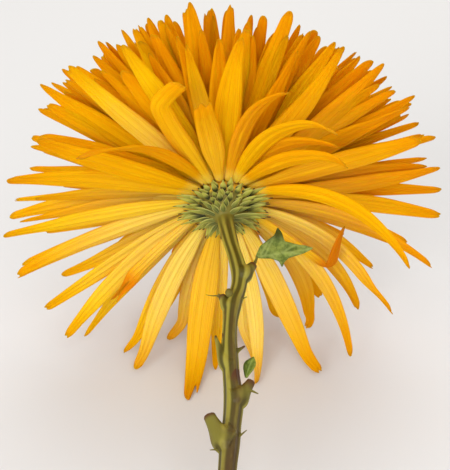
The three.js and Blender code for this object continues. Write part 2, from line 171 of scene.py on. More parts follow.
# ---------------------------------------------------------------- materials
class Finish:
    """A Principled material with a few plain helpers for its nodes."""

    def __init__(self, name, roughness, specular=0.4):
        self.material = bpy.data.materials.new(name)
        self.material.use_nodes = True
        self.nodes = self.material.node_tree.nodes
        self.links = self.material.node_tree.links
        self.shader = self.nodes["Principled BSDF"]
        self.shader.inputs["Roughness"].default_value = roughness
        self.shader.inputs["Specular IOR Level"].default_value = specular

    def node(self, kind, **settings):
        node = self.nodes.new(kind)
        for name, value in settings.items():
            setattr(node, name, value)
        return node

    def feed(self, socket, value):
        if isinstance(value, bpy.types.NodeSocket):
            self.links.new(value, socket)
        else:
            socket.default_value = value

    def math(self, operation, a, b=0.0):
        node = self.node("ShaderNodeMath", operation=operation)
        self.feed(node.inputs[0], a)
        self.feed(node.inputs[1], b)
        return node.outputs[0]

    def times(self, value, factor):
        return self.math("MULTIPLY", value, factor)

    def from_middle(self, across):
        """How far a place is from the middle of its sheet, which is 0.5 at the margins."""
        return self.math("ABSOLUTE", self.math("SUBTRACT", across, 0.5))

    def remap(self, value, low, high, to_low=0.0, to_high=1.0):
        node = self.node("ShaderNodeMapRange", interpolation_type="SMOOTHSTEP")
        for socket, number in zip(node.inputs, (value, low, high, to_low, to_high)):
            self.feed(socket, number)
        return node.outputs[0]

    def blend(self, factor, a, b):
        node = self.node("ShaderNodeMix", data_type="RGBA")
        self.feed(node.inputs[0], factor)
        self.feed(node.inputs[6], a)
        self.feed(node.inputs[7], b)
        return node.outputs[2]

    def attribute(self, name):
        return self.node("ShaderNodeAttribute", attribute_name=name).outputs["Fac"]

    def uv(self):
        separate = self.node("ShaderNodeSeparateXYZ")
        coordinates = self.node("ShaderNodeUVMap", uv_map="UVMap")
        self.links.new(coordinates.outputs[0], separate.inputs[0])
        return coordinates.outputs[0], separate.outputs[0], separate.outputs[1]

    def place(self, source, scale, turn=(0, 0, 0)):
        node = self.node("ShaderNodeMapping")
        self.links.new(source, node.inputs[0])
        node.inputs["Rotation"].default_value = turn
        node.inputs["Scale"].default_value = scale
        return node.outputs[0]

    def noise(self, source, scale, detail=3.0, rough=0.5):
        node = self.node("ShaderNodeTexNoise")
        self.links.new(source, node.inputs["Vector"])
        node.inputs["Scale"].default_value = scale
        node.inputs["Detail"].default_value = detail
        node.inputs["Roughness"].default_value = rough
        return node.outputs["Fac"]

    def object_coordinates(self):
        return self.node("ShaderNodeTexCoord").outputs["Object"]

    def colour(self, value):
        self.feed(self.shader.inputs["Base Color"], value)

    def roughness(self, value):
        self.feed(self.shader.inputs["Roughness"], value)

    def bump(self, height, strength, distance):
        node = self.node("ShaderNodeBump")
        node.inputs["Strength"].default_value = strength
        node.inputs["Distance"].default_value = distance
        self.links.new(height, node.inputs["Height"])
        self.links.new(node.outputs[0], self.shader.inputs["Normal"])

    def soft(self, weight, radius, scale):
        self.shader.inputs["Subsurface Weight"].default_value = weight
        self.shader.inputs["Subsurface Radius"].default_value = radius
        self.shader.inputs["Subsurface Scale"].default_value = scale


# Colours of the finishes, in linear light.
# The first colour is painted light: the colour of light shining through a floret.
PETAL_GLOW = (1.0, 0.65, 0.13, 1)
PETAL_REVERSE = (0.66, 0.19, 0.002, 1)
PETAL_FOOT = (0.96, 0.57, 0.06, 1)
PETAL_END = (0.38, 0.17, 0.005, 1)
BRACT_DARK = (0.035, 0.042, 0.004, 1)
BRACT_GREEN = (0.25, 0.27, 0.05, 1)
BRACT_FRESH = (0.42, 0.42, 0.05, 1)
BRACT_THIN = (0.56, 0.54, 0.07, 1)
BRACT_MARGIN = (0.52, 0.50, 0.13, 1)
BRACT_BROWN = (0.075, 0.022, 0.006, 1)
BRACT_PAINTED_SHADE = (0.014, 0.017, 0.002, 1)
STEM_GROOVE = (0.06, 0.046, 0.004, 1)
STEM_RIDGE = (0.36, 0.31, 0.045, 1)
STEM_STREAK = (0.14, 0.13, 0.01, 1)
STEM_BARK_AND_SHADE = (0.075, 0.04, 0.008, 1)
STEM_BROWN = (0.14, 0.08, 0.02, 1)
STEM_CUT = (0.085, 0.026, 0.007, 1)
STEM_DOME = (0.90, 0.55, 0.04, 1)
LEAF_DARK = (0.07, 0.105, 0.008, 1)
LEAF_GREEN = (0.24, 0.29, 0.05, 1)
LEAF_VEIN = (0.33, 0.38, 0.10, 1)
LEAF_SHADED = (0.035, 0.045, 0.004, 1)
DRY_DARK = (0.07, 0.06, 0.008, 1)
DRY_PALE = (0.25, 0.21, 0.045, 1)
TABLE_COLOUR = (0.71, 0.717, 0.727, 1)


def petal_finish(name, pale, gold, deep):
    """Golden petal with painted light and shade, deeper towards its tip, with fine veins along it.
    """
    f = Finish(name, 0.62, 0.03)
    coordinates, across, along = f.uv()
    tone = f.attribute("tone")
    veins = f.noise(f.place(coordinates, (26, 1.1, 1)), 1.0, 3.0)
    cloud = f.noise(f.place(coordinates, (3, 2.4, 1)), 1.7, 2.0)
    colour = f.blend(f.remap(tone, -1, 0.2), pale, gold)
    colour = f.blend(f.times(f.remap(tone, 0.2, 1.3), 0.75), colour, deep)
    # Painted light: the thin mark makes the floret paler where light shines through it.
    colour = f.blend(f.attribute("thin"), colour, PETAL_GLOW)
    colour = f.blend(f.times(f.remap(along, 0.7, 1.0), 0.5), colour, deep)
    colour = f.blend(f.times(f.remap(veins, 0.5, 0.62), 0.5), colour, deep)
    colour = f.blend(f.times(f.remap(cloud, 0.5, 0.75), 0.35), colour, pale)
    middle = f.from_middle(across)
    colour = f.blend(f.times(f.remap(middle, 0.4, 0.5), 0.35), colour, deep)
    colour = f.blend(f.attribute("reverse"), colour, PETAL_REVERSE)
    colour = f.blend(f.times(f.remap(along, 0.12, 0.03), 0.85), colour, PETAL_FOOT)
    colour = f.blend(f.times(f.remap(along, 0.965, 1.0), 0.6), colour, PETAL_END)
    f.colour(colour)
    f.roughness(f.remap(veins, 0.2, 0.8, 0.5, 0.65))
    f.bump(veins, 0.8, 0.45 * MM)
    f.soft(0.5, (1.0, 0.56, 0.01), 1.8 * MM)
    return f.material


PETAL = petal_finish(
    "golden_petal", (0.97, 0.55, 0.003, 1), (0.92, 0.435, 0.001, 1), (0.71, 0.24, 0, 1)
)
# The heart's petals are a darker copy of the golden petal: painted shade deep in the head.
SHADED_HEART_PETAL = petal_finish(
    "heart_petal", (0.89, 0.44, 0.001, 1), (0.82, 0.345, 0, 1), (0.66, 0.21, 0, 1)
)


def bract_finish():
    """Green and fibrous, paler at its margins, with a brown tip and painted shade on its foot."""
    f = Finish("bract", 0.62, 0.3)
    coordinates, across, along = f.uv()
    middle = f.from_middle(across)
    fibre = f.noise(f.place(coordinates, (14, 1.5, 1)), 1.0, 2.0)
    green = f.blend(f.remap(fibre, 0.3, 0.7), BRACT_DARK, BRACT_GREEN)
    green = f.blend(f.times(f.remap(along, 0.3, 1.0), 0.6), green, BRACT_FRESH)
    green = f.blend(f.times(f.attribute("thin"), 0.8), green, BRACT_THIN)
    colour = f.blend(f.remap(middle, 0.28, 0.48), green, BRACT_MARGIN)
    tip = f.times(f.remap(along, 0.76, 0.92), f.attribute("tone"))
    colour = f.blend(tip, colour, BRACT_BROWN)
    # Painted shade on the bract's foot.
    colour = f.blend(f.attribute("reverse"), colour, BRACT_PAINTED_SHADE)
    f.colour(colour)
    f.bump(fibre, 0.6, 0.3 * MM)
    f.soft(0.1, (0.6, 0.8, 0.2), 0.8 * MM)
    return f.material


def stem_finish():
    """Olive, paler on the ridges, with streaks, brown bark, painted shade, dark cuts and a golden
    dome.
    """
    f = Finish("stem", 0.52, 0.25)
    lying = f.place(f.object_coordinates(), (1, 1, 1), (-TILT, 0, 0))
    streaks = f.noise(f.place(lying, (1500, 70, 1500)), 1.0, 3.0)
    patches = f.noise(f.place(lying, (300, 110, 300)), 1.0, 3.0, 0.6)
    ridge = f.remap(f.attribute("ridge"), -0.7, 0.9)
    green = f.blend(ridge, STEM_GROOVE, STEM_RIDGE)
    green = f.blend(f.times(streaks, 0.45), green, STEM_STREAK)
    bark_and_shade = f.times(f.attribute("bark_and_shade"), f.remap(patches, 0.25, 0.6, 0.55, 1.0))
    colour = f.blend(bark_and_shade, green, STEM_BARK_AND_SHADE)
    brown = f.times(f.remap(patches, 0.58, 0.72), 0.6)
    colour = f.blend(brown, colour, STEM_BROWN)
    colour = f.blend(f.attribute("cut"), colour, STEM_CUT)
    colour = f.blend(f.attribute("dome"), colour, STEM_DOME)
    f.colour(colour)
    f.roughness(f.remap(streaks, 0.2, 0.8, 0.4, 0.6))
    f.bump(streaks, 0.5, 0.2 * MM)
    f.soft(0.08, (0.8, 0.7, 0.2), 0.8 * MM)
    return f.material


def leaf_finish():
    """Mottled green with pale veins, and painted shade where the leaf turns away."""
    f = Finish("leaf", 0.55, 0.22)
    flesh = f.noise(f.object_coordinates(), 650, 4.0, 0.6)
    green = f.blend(f.remap(flesh, 0.3, 0.7), LEAF_DARK, LEAF_GREEN)
    colour = f.blend(f.times(f.attribute("tone"), 0.5), green, LEAF_VEIN)
    colour = f.blend(f.attribute("reverse"), colour, LEAF_SHADED)
    f.colour(colour)
    f.bump(flesh, 0.4, 0.25 * MM)
    f.soft(0.15, (0.5, 0.9, 0.2), 0.8 * MM)
    return f.material


def dry_finish():
    """Dry, grained and brownish, for the spikes, the thread and the dead bud."""
    f = Finish("dry_point", 0.75, 0.15)
    grain = f.noise(f.object_coordinates(), 1500, 4.0, 0.6)
    f.colour(f.blend(grain, DRY_DARK, DRY_PALE))
    f.bump(grain, 0.6, 0.2 * MM)
    return f.material


BRACT = bract_finish()
STEM = stem_finish()
LEAF = leaf_finish()
DRY = dry_finish()


# ---------------------------------------------------------------- sheets
# On the florets the tone mark holds painted shade as well as their own tone, and the thin mark
# paints light shining through them; the third mark holds painted shade on the bracts and leaves,
# and the darker reverse of a turned floret.
MARKS = ("tone", "thin", "reverse")
ROUNDING = 1  # level of subdivision of every sheet


def smooth_faces(mesh):
    for polygon in mesh.polygons:
        polygon.use_smooth = True


def new_piece(name, bm, material):
    """An object made of all that the bmesh holds, which is then freed."""
    mesh = bpy.data.meshes.new(name)
    bm.to_mesh(mesh)
    bm.free()
    mesh.materials.append(material)
    smooth_faces(mesh)
    piece = bpy.data.objects.new(name, mesh)
    bpy.context.collection.objects.link(piece)
    return piece


class Sheets:
    """Thin pieces that grow as one object: each is a grid that is laid out by a function of
    u, from -1 to 1 across it, and v, from 0 to 1 along it."""

    def __init__(self):
        self.bm = bmesh.new()
        self.uv = self.bm.loops.layers.uv.new("UVMap")
        self.marks = [self.bm.verts.layers.float.new(name) for name in MARKS]

    def add(self, columns, rows, layout, **marks):
        made = bmesh.ops.create_grid(self.bm, x_segments=columns, y_segments=rows, size=1)
        verts = made["verts"]
        faces = {face for vert in verts for face in vert.link_faces}
        for face in faces:
            for loop in face.loops:
                x, y, _ = loop.vert.co
                loop[self.uv].uv = ((x + 1) / 2, (y + 1) / 2)
        for vert in verts:
            u = vert.co.x
            v = (vert.co.y + 1) / 2
            for name, layer in zip(MARKS, self.marks):
                mark = marks.get(name, 0.0)
                vert[layer] = mark(u, v) if callable(mark) else mark
            vert.co = layout(u, v)

    def finish(self, name, material, thickness):
        piece = new_piece(name, self.bm, material)
        wall = piece.modifiers.new("wall", "SOLIDIFY")
        wall.thickness = thickness
        wall.offset = 0
        wall.use_even_offset = False
        rounding = piece.modifiers.new("rounding", "SUBSURF")
        rounding.levels = ROUNDING
        rounding.render_levels = ROUNDING
        return piece


def belong(piece, slot, *nodes):
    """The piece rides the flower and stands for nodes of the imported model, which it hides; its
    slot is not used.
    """
    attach(piece, "root")
    if nodes:
        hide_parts(*nodes)


# ---------------------------------------------------------------- florets
# Millimetres, apart from the sheet's thickness and the seats.
FLORET_LENGTH = 53
FLORET_WIDTH = 6.9
FLORET_THICKNESS = 0.5
CLAW_WIDTH = 3
BEND_HEIGHT = 7
LOWEST_MIDDLE = 0.22  # of a sheet over the table, so that its thickness has room
GROOVE_DEPTH = 0.22
SHEET_THICKNESS = 0.34 * MM
FLORET_SEAT = 0.55 * MM
HEART_SEAT = 0.7 * MM
PATH_STEPS = 60
WANDER = 1.6  # degrees that a floret strays from its own line
WANDER_PACE = 2.2
# Shapes in shares of the floret: across it from -1 to 1, along it from 0 to 1.
CLAW_ROLL = 1.3
TIP_FROM = 0.88
NOTCH_WIDTH = 0.22
SIDE_NOTCH = -0.6
SIDE_NOTCH_WIDTH = 0.15


def floret_path(base, habit, seed):
    """Stations down the middle of a floret, as (place, across, normal). The lean and the
    azimuth change along it, and near the table it gives way and lies down."""
    azimuth, lean, length = habit["azimuth"], habit["lean"], habit["length"]
    bow, sweep = habit.get("bow", 0), habit.get("sweep", 0)
    twist, kinks = habit.get("twist", 22 * chance(seed, 11)), habit.get("kinks", ())
    step = length * FLORET_LENGTH / PATH_STEPS
    at = (base - Vector((0, 0, stem_low.z))) / MM
    across = FACE.cross(direction(azimuth, lean)).normalized()
    stations = []
    for i in range(PATH_STEPS + 1):
        s = i / PATH_STEPS
        pace = s * WANDER_PACE
        a = azimuth + sweep * (s * s - 1 / 3) + WANDER * noise.noise(Vector((seed * 7.3, pace, 0)))
        b = lean + bow * (2 * s - 1) + WANDER * noise.noise(Vector((0, pace, seed * 5.1)))
        turn = twist * s
        for start, end, kink_azimuth, kink_lean, kink_twist in kinks:
            share = smooth(s, start, end)
            a += kink_azimuth * share
            b += kink_lean * share
            turn += kink_twist * share
        tangent = direction(a, b)
        fall = max(at.z - FLORET_THICKNESS, 0) / BEND_HEIGHT
        if tangent.z < -fall:
            keep = math.sqrt(max(1 - fall * fall, 0)) / math.hypot(tangent.x, tangent.y)
            tangent = Vector((tangent.x * keep, tangent.y * keep, -fall))
        across.z *= smooth(at.z, -BEND_HEIGHT, BEND_HEIGHT)
        across = (across - tangent * across.dot(tangent)).normalized()
        side = Quaternion(tangent, math.radians(turn)) @ across
        stations.append((at.copy(), side, tangent.cross(side)))
        at = at + tangent * step
    return stations


def along_path(stations, s):
    x = min(max(s, 0), 1) * PATH_STEPS
    i = min(int(x), PATH_STEPS - 1)
    share = x - i
    return [a.lerp(b, share) for a, b in zip(stations[i], stations[i + 1])]


def floret_layout(stations, habit, seed):
    """A rolled claw, a blade with two grooves that rounds back over its middle, and a tip that
    is blunt, pointed or notched."""
    half = habit["width"] * FLORET_WIDTH / 2
    claw = CLAW_WIDTH / 2
    widest = habit.get("widest", 0.5 + 0.1 * chance(seed, 12))
    taper = habit.get("taper", 0.68 + 0.14 * chance(seed, 13))
    roundness = habit.get("round", 0.055 + 0.02 * chance(seed, 1))
    notch = habit.get("notch", max(0, chance(seed, 2)) * 0.03)
    notch_place = habit.get("notch_place", 0.35 * chance(seed, 3))
    curl = habit.get("curl", 0.5 + 0.3 * chance(seed, 4))
    end_curl = 0.5 * chance(seed, 6)
    wave = 0.45 + 0.3 * chance(seed, 5)
    fold = 0.5 * chance(seed, 14)

    def layout(u, v):
        s = v - roundness * (1 - math.sqrt(max(1 - 0.96 * u * u, 0))) * smooth(v, 0.55, 1)
        s -= notch * hill(u, notch_place, NOTCH_WIDTH) * smooth(v, TIP_FROM, 1)
        s -= 0.5 * notch * hill(u, SIDE_NOTCH, SIDE_NOTCH_WIDTH) * smooth(v, TIP_FROM, 1)
        place, side, normal = along_path(stations, s)
        wide = claw + (half - claw) * smooth(s, -0.05, 0.4)
        wide *= 1 - taper * smooth(s, widest, 1.04) ** 1.25
        roll = mix(CLAW_ROLL, curl, smooth(s, 0.0, 0.3)) + end_curl * smooth(s, 0.75, 1)
        x = wide * math.sin(roll * u) / roll
        z = wide * (1 - math.cos(roll * u)) / roll
        grooved = smooth(s, 0.05, 0.3) * (1 - 0.5 * smooth(s, 0.8, 1))
        z -= GROOVE_DEPTH * math.cos(3 * math.pi * u) * grooved
        z -= fold * (1 - abs(u)) * smooth(s, 0.1, 0.5)
        z += wave * u * abs(u) * noise.noise(Vector((s * 4.0, 1.5 * (u > 0), seed * 3.7)))
        placed = place + side * x + normal * z
        placed.z = max(placed.z, LOWEST_MIDDLE)
        return placed * MM + Vector((0, 0, stem_low.z))

    return layout


def painted_glow_under_head(azimuth, seed):
    """Painted light: the florets under the head are paler near their feet, for light shining
    through.
    """
    under = smooth(-math.sin(math.radians(azimuth + 10)), -0.15, 0.5)
    return max(0.03 + 0.65 * under + 0.12 * chance(seed, 15), 0)


SHADIEST_AZIMUTH = 45


def painted_shade_of(azimuth):
    """Painted shade: the head's upper right florets are painted the deepest in colour."""
    return 0.75 * math.cos(math.radians(azimuth - SHADIEST_AZIMUTH)) + 0.25


# Where the head is shallower: azimuth and half width in degrees, and the share of length lost.
SHALLOWS = [(68, 22, 0.07), (128, 14, 0.05)]


def trim(habit):
    """The head is a little shallower on both sides of its top."""
    share = 1
    for azimuth, half_width, lost in SHALLOWS:
        aside = ((habit["azimuth"] - azimuth) % 360 + 180) % 360 - 180
        share -= lost * hill(aside, 0, half_width)
    habit["length"] *= share


def grow_floret(sheets, habit, seat, seed, columns=10, rows=26):
    base = head_point(habit["azimuth"] - habit.get("sweep", 0) / 3, seat.x, seat.y)
    stations = floret_path(base, habit, seed)
    # Painted light: the thin mark paints light shining through the floret, up to its reach.
    thin = habit.get("thin", painted_glow_under_head(habit["azimuth"], seed))
    reach = habit.get("glow_reach", 0.75)
    turned = habit.get("reverse", 0)
    turn_from, turn_to = habit.get("reverse_span", (0.5, 0.65))
    sheets.add(
        columns,
        rows,
        floret_layout(stations, habit, seed),
        # Tone: a random deepness of the floret's colour, plus painted shade that follows its
        # azimuth.
        tone=habit.get("tone", 0.55 * chance(seed, 7) + painted_shade_of(habit["azimuth"])),
        thin=lambda u, v: thin * (1 - smooth(v, reach - 0.5, reach + 0.2)),
        reverse=lambda u, v: turned * smooth(v, turn_from, turn_to),
    )


# Three rows of separate florets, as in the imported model: azimuth and lean in degrees, shares
# of the full length and width, then the bow and the sweep in degrees.
ROWS = {
    "outer_floret": (
        4,
        [
            (9, 130, 1.06, 0.9, 28, -42),
            (50, 119, 0.9, 0.85, 16, -16),
            (54, 110, 0.93, 0.9, 22, -44),
            (69, 101, 0.87, 0.75, 22, -34),
            (97, 101, 0.66, 0.95, 15, -4),
            (104, 96, 0.82, 0.95, 6, -27),
            (135, 117, 0.99, 0.85, 22, 28),
            (142, 103, 1, 0.95, 2, -12),
            (160, 103, 1.02, 1.1, 11, -5),
            (179, 104, 1.02, 0.85, 9, -14),
            (196, 105, 1.04, 1, 13, -4),
            (219, 111, 1.05, 0.95, 15, 2),
            (243, 119, 0.99, 0.9, 20, 9),
            (261, 129, 1.12, 1.15, 24, 8),
            (278, 122, 1.03, 0.75, 18, -22),
            (300, 120, 1.03, 1, 18, 5),
            (308, 116, 1.05, 0.9, 28, -36),
            (323, 111, 1.02, 0.8, 30, -38),
        ],
    ),
    "middle_floret": (
        17,
        [
            (11, 89, 1, 0.95, 0, 22),
            (33, 100, 1, 1.05, 5, 16),
            (50, 86, 1.03, 1, 0, 18),
            (61, 88, 1, 0.95, 0, 12),
            (85, 92, 0.98, 1.1, 8, -12),
            (115, 88, 0.99, 1.05, 4, -2),
            (128, 91, 1.05, 0.9, 1, -6),
            (152, 92, 0.9, 0.95, 4, 0),
            (189, 89, 1.03, 0.95, 10, 6),
            (200, 96, 1.05, 0.9, 7, -9),
            (210, 106, 1.05, 0.8, 10, -16),
            (228, 104, 1.07, 0.8, 12, 2),
            (240, 111, 1, 0.85, 17, 2),
            (257, 104, 0.9, 0.85, 11, 15),
            (268, 113, 0.98, 0.75, 8, 4),
            (276, 110, 0.98, 0.75, 8, -10),
            (294, 98, 0.98, 0.85, 14, -46),
            (312, 98, 0.98, 0.8, 12, -34),
            (342, 101, 1.07, 0.8, 17, -18),
        ],
    ),
    "inner_floret": (
        30,
        [
            (14, 81, 1.02, 0.95, 2, 0),
            (35, 86, 1.02, 1, 0, 10),
            (74, 80, 1.02, 0.95, 2, 0),
            (98, 78, 1.02, 0.95, 2, 0),
            (141, 86, 1.03, 0.95, 0, -10),
            (166, 82, 0.86, 0.95, 2, 0),
            (213, 93, 0.97, 0.8, 2, -14),
            (233, 93, 0.86, 0.8, 5, 6),
            (285, 98, 0.93, 0.85, 10, -22),
            (322, 87, 0.96, 0.85, 14, -5),
            (337, 88, 0.98, 0.85, 8, -8),
            (355, 93, 1.04, 0.85, 9, 4),
        ],
    ),
}

# What sets a few florets apart: each kink turns the floret between two shares of its length,
# as (start, end, azimuth, lean, twist). A thin value paints light shining through the floret.
ODD_HABITS = {
    "outer_floret_02": dict(kinks=((0.8, 1, -14, 10, 0),), tone=0.8, taper=0.5),
    "outer_floret_03": dict(kinks=((0.78, 1, -18, 12, 0),), tone=0.5, taper=0.5),
    "outer_floret_05": dict(kinks=((0.8, 0.9, 0, -25, 0),), taper=0.25, notch=0.07),
    "outer_floret_06": dict(
        azimuth=108, length=0.87, kinks=((0.68, 0.78, -40, 0, -10),), tone=0.3, taper=0.2
    ),
    # The tone of outer_floret_07 paints shade on it.
    "outer_floret_07": dict(tone=1, twist=-30),
    "outer_floret_13": dict(thin=0.9, glow_reach=0.95),
    "outer_floret_14": dict(
        taper=0.5, notch=0.1, notch_place=-0.4, reverse=0.5, reverse_span=(0.86, 1), thin=0.25
    ),
    "outer_floret_15": dict(thin=1, glow_reach=1.1),
    "outer_floret_18": dict(kinks=((0.72, 0.86, 26, 0, 25),), taper=0.4),
    "middle_floret_06": dict(tone=-1),
    "middle_floret_07": dict(tone=-1, thin=0.5),
    "middle_floret_14": dict(thin=1, glow_reach=1.0),
    "middle_floret_16": dict(thin=1, glow_reach=1.1),
}

# More florets that stand between the inner row and the heart, listed in the same way.
BETWEEN_ANGLE = 36
BETWEEN = [
    (36, 92, 1.01, 0.9, 4, 6),
    (42, 90, 1.01, 0.85, 3, 4),
    (48, 82, 1.01, 0.9, 2, 6),
    (58, 77, 0.98, 0.85, 2, 4),
    (66, 79, 1.01, 0.9, 2, 0),
    (66, 67, 0.96, 0.85, 0, 0),
    (73, 75, 0.98, 0.85, 2, 0),
    (77, 66, 0.93, 0.85, 0, 2),
    (83, 74, 0.92, 0.85, 2, 0),
    (88, 71, 0.98, 0.9, 0, 0),
    (94, 67, 0.93, 0.85, 0, 0),
    (100, 74, 0.97, 0.9, 2, -2),
    (106, 73, 0.95, 0.85, 2, -2),
    (111, 74, 0.97, 0.9, 0, 0),
    (116, 72, 0.95, 0.85, 0, -3),
    (122, 66, 0.96, 0.85, 0, -3),
    (127, 74, 1.0, 0.9, 0, -4),
    (134, 80, 0.98, 0.85, 2, -4),
    (145, 88, 0.96, 0.9, 2, -4),
    (148, 99, 0.94, 0.85, 6, -6),
    (155, 79, 0.95, 0.85, 2, 0),
    (171, 88, 0.91, 0.85, 4, 0),
    (178, 95, 0.88, 0.8, 6, -4),
    (190, 82, 1.06, 0.8, 3, 0),
    (186, 96, 0.98, 0.8, 8, -8),
    (203, 84, 0.98, 0.75, 4, -6),
    (214, 84, 0.93, 0.75, 4, -4),
    (247, 103, 0.91, 0.75, 8, 0),
    (263, 98, 0.93, 0.7, 8, 0),
    (303, 92, 0.9, 0.75, 8, -6),
    (331, 84, 0.96, 0.75, 6, -6),
    (347, 84, 1.03, 0.8, 4, -2),
    (358, 86, 1.05, 0.8, 2, 0),
    (5, 80, 0.98, 0.85, 2, 6),
    (22, 88, 0.98, 0.9, 2, 8),
    (28, 80, 0.98, 0.85, 2, 6),
    (47, 113, 0.84, 0.85, 20, -32),
]
# The head is fullest above its stem, where more florets crowd in behind the listed ones.
CROWD = 62
CROWD_FROM = 8
CROWD_TO = 172
CROWD_ANGLE = 39
CROWD_STRIDE = 0.618
# A thin floret that has curled back on itself, and one that is twisted below a split tip. Both
# show their orange reverse, and both grow from the receptacle's rim. Their thin marks paint
# light shining through them.
STRAY_ANGLE = 2
CURLED = dict(
    azimuth=324,
    lean=105,
    length=0.93,
    width=0.45,
    bow=4,
    sweep=-4,
    kinks=((0.53, 0.62, 120, -12, 20),),
    taper=0.85,
    reverse=1,
    reverse_span=(0.44, 0.58),
    thin=0.2,
)
SPLIT = dict(
    azimuth=219,
    lean=113,
    length=0.7,
    width=0.55,
    bow=6,
    sweep=2,
    kinks=((0.6, 0.9, 0, 0, 120),),
    notch=0.3,
    taper=-0.3,
    reverse=0.85,
    reverse_span=(0.62, 0.8),
    thin=0.6,
)


def habit_of(*numbers):
    return dict(zip(("azimuth", "lean", "length", "width", "bow", "sweep"), numbers))


seed = 0
for row_name, (dome_angle, habits) in ROWS.items():
    seat = dome_seat(dome_angle, FLORET_SEAT)
    for index, numbers in enumerate(habits, 1):
        seed += 1
        name = f"{row_name}_{index:02d}"
        habit = habit_of(*numbers) | ODD_HABITS.get(name, {})
        sheets = Sheets()
        grow_floret(sheets, habit, seat, seed)
        floret = sheets.finish(name.replace("_floret_", "_petal_"), PETAL, SHEET_THICKNESS)
        belong(floret, "petal", name)

# The heart: whorls that close over the dome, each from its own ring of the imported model.
HEART = [
    dict(dome_angle=43, lean=68, length=0.93, width=0.82, bow=3, count=38, spread=14),
    dict(dome_angle=54, lean=55, length=0.88, width=0.78, bow=1, count=32, spread=13),
    dict(dome_angle=65, lean=42, length=0.76, width=0.74, bow=-4, count=27, spread=13),
    dict(dome_angle=75.5, lean=28, length=0.62, width=0.68, bow=-9, count=22, spread=13),
    dict(dome_angle=83, lean=14, length=0.46, width=0.56, bow=-14, count=16, spread=12),
]
MIDDLE = dict(dome_angle=88, lean=6, length=0.34, width=0.46, bow=-20, count=14, spread=10)
TRIMMED_LEAN = 45  # only whorls that lean further than this follow the head's shallows


def grow_whorl(sheets, whorl, first_seed):
    seat = dome_seat(whorl["dome_angle"], HEART_SEAT)
    for i in range(whorl["count"]):
        seed = first_seed + i
        later = i / (whorl["count"] - 1) - 0.5
        habit = dict(
            azimuth=seed * GOLDEN_ANGLE,
            lean=whorl["lean"] - whorl["spread"] * later,
            length=whorl["length"] * (1 - 0.06 * later + 0.04 * chance(seed, 8)),
            width=whorl["width"] * (1 + 0.1 * chance(seed, 9)),
            bow=whorl["bow"] + 3 * chance(seed, 10),
            # Painted light: the more upright heart florets are paler, for light shining through
            # them.
            thin=0.02 * max(60 - whorl["lean"], 0),
        )
        if whorl["lean"] > TRIMMED_LEAN:
            trim(habit)
        grow_floret(sheets, habit, seat, seed, columns=8, rows=18)
    return first_seed + whorl["count"]


def crowd_habit(i, seed):
    return habit_of(
        mix(CROWD_FROM, CROWD_TO, (i * CROWD_STRIDE) % 1),
        78 + 11 * chance(seed, 31),
        0.93 + 0.05 * chance(seed, 32),
        0.8 + 0.15 * chance(seed, 33),
        2,
        5 * chance(seed, 34),
    )


seed += 1
sheets = Sheets()
seat = dome_seat(BETWEEN_ANGLE, HEART_SEAT)
for numbers in BETWEEN:
    habit = habit_of(*numbers)
    trim(habit)
    grow_floret(sheets, habit, seat, seed, columns=8, rows=20)
    seed += 1
for habit in (CURLED, SPLIT):
    grow_floret(sheets, habit, dome_seat(STRAY_ANGLE, HEART_SEAT), seed)
    seed += 1
belong(sheets.finish("between_petals", PETAL, SHEET_THICKNESS), "petal")

sheets = Sheets()
seat = dome_seat(CROWD_ANGLE, HEART_SEAT)
for i in range(CROWD):
    habit = crowd_habit(i, seed)
    trim(habit)
    grow_floret(sheets, habit, seat, seed, columns=8, rows=18)
    seed += 1
belong(sheets.finish("crowded_petals", PETAL, SHEET_THICKNESS), "petal")

for number, whorl in enumerate(HEART, 1):
    sheets = Sheets()
    seed = grow_whorl(sheets, whorl, seed)
    if number == len(HEART):
        seed = grow_whorl(sheets, MIDDLE, seed)
    piece = sheets.finish(f"heart_petals_{number}", SHADED_HEART_PETAL, SHEET_THICKNESS)
    belong(piece, "heart_petal", f"heart_whorl_{number}")


# ---------------------------------------------------------------- the involucre
BRACT_THICKNESS = 0.16 * MM
BRACT_STEPS = 14
BRACT_BURIED = 0.3 * MM
LEAST_BRACT_ROOT = 1.9 * MM
LAST_SHADED_DEPTH = 4.5
# For each row its node, its piece and its rings, which give the depth behind the rim in
# millimetres, the lean and bow in degrees, the length and width in millimetres, and the number.
BRACT_ROWS = [
    ("inner_bracts", "bracts_inner", [(1.0, 88, 3, 6.4, 1.9, 23), (1.8, 88, 4, 6.6, 1.8, 21)]),
    ("middle_bracts", "bracts_middle", [(2.8, 87, 5, 6.4, 1.7, 19), (3.9, 86, 6, 6.8, 1.7, 16)]),
    ("outer_bracts", "bracts_outer", [(4.8, 85, 7, 7.4, 1.7, 13), (5.6, 84, 8, 8.2, 1.8, 10)]),
]


def bract_layout(azimuth, depth, lean, bow, length, width, index):
    """A keeled, pointed bract that starts inside the flare of the stem."""
    root = max(flare_radius(depth * MM) - BRACT_BURIED, LEAST_BRACT_ROOT)
    at = head_point(azimuth, root, -depth * MM)
    stations = []
    sweep = 12 * chance(index, 21)
    for i in range(BRACT_STEPS + 1):
        s = i / BRACT_STEPS
        tangent = direction(azimuth + sweep * s * s, lean + bow * (2 * s - 1))
        side = FACE.cross(tangent).normalized()
        stations.append((at.copy(), side, tangent.cross(side)))
        at = at + tangent * (length * MM / BRACT_STEPS)

    def layout(u, v):
        x = v * BRACT_STEPS
        i = min(int(x), BRACT_STEPS - 1)
        place, side, normal = [a.lerp(b, x - i) for a, b in zip(stations[i], stations[i + 1])]
        wide = width / 2 * (0.75 + 0.25 * smooth(v, 0, 0.3)) * (1 - 0.95 * smooth(v, 0.3, 1.05))
        keel = -0.22 * (1 - abs(u)) * (1 - v)
        cup = 0.2 * u * u + 0.12 * math.cos(9 * u) * (1 - v)
        return place + side * (u * wide * MM) + normal * ((keel + cup) * MM)

    return layout


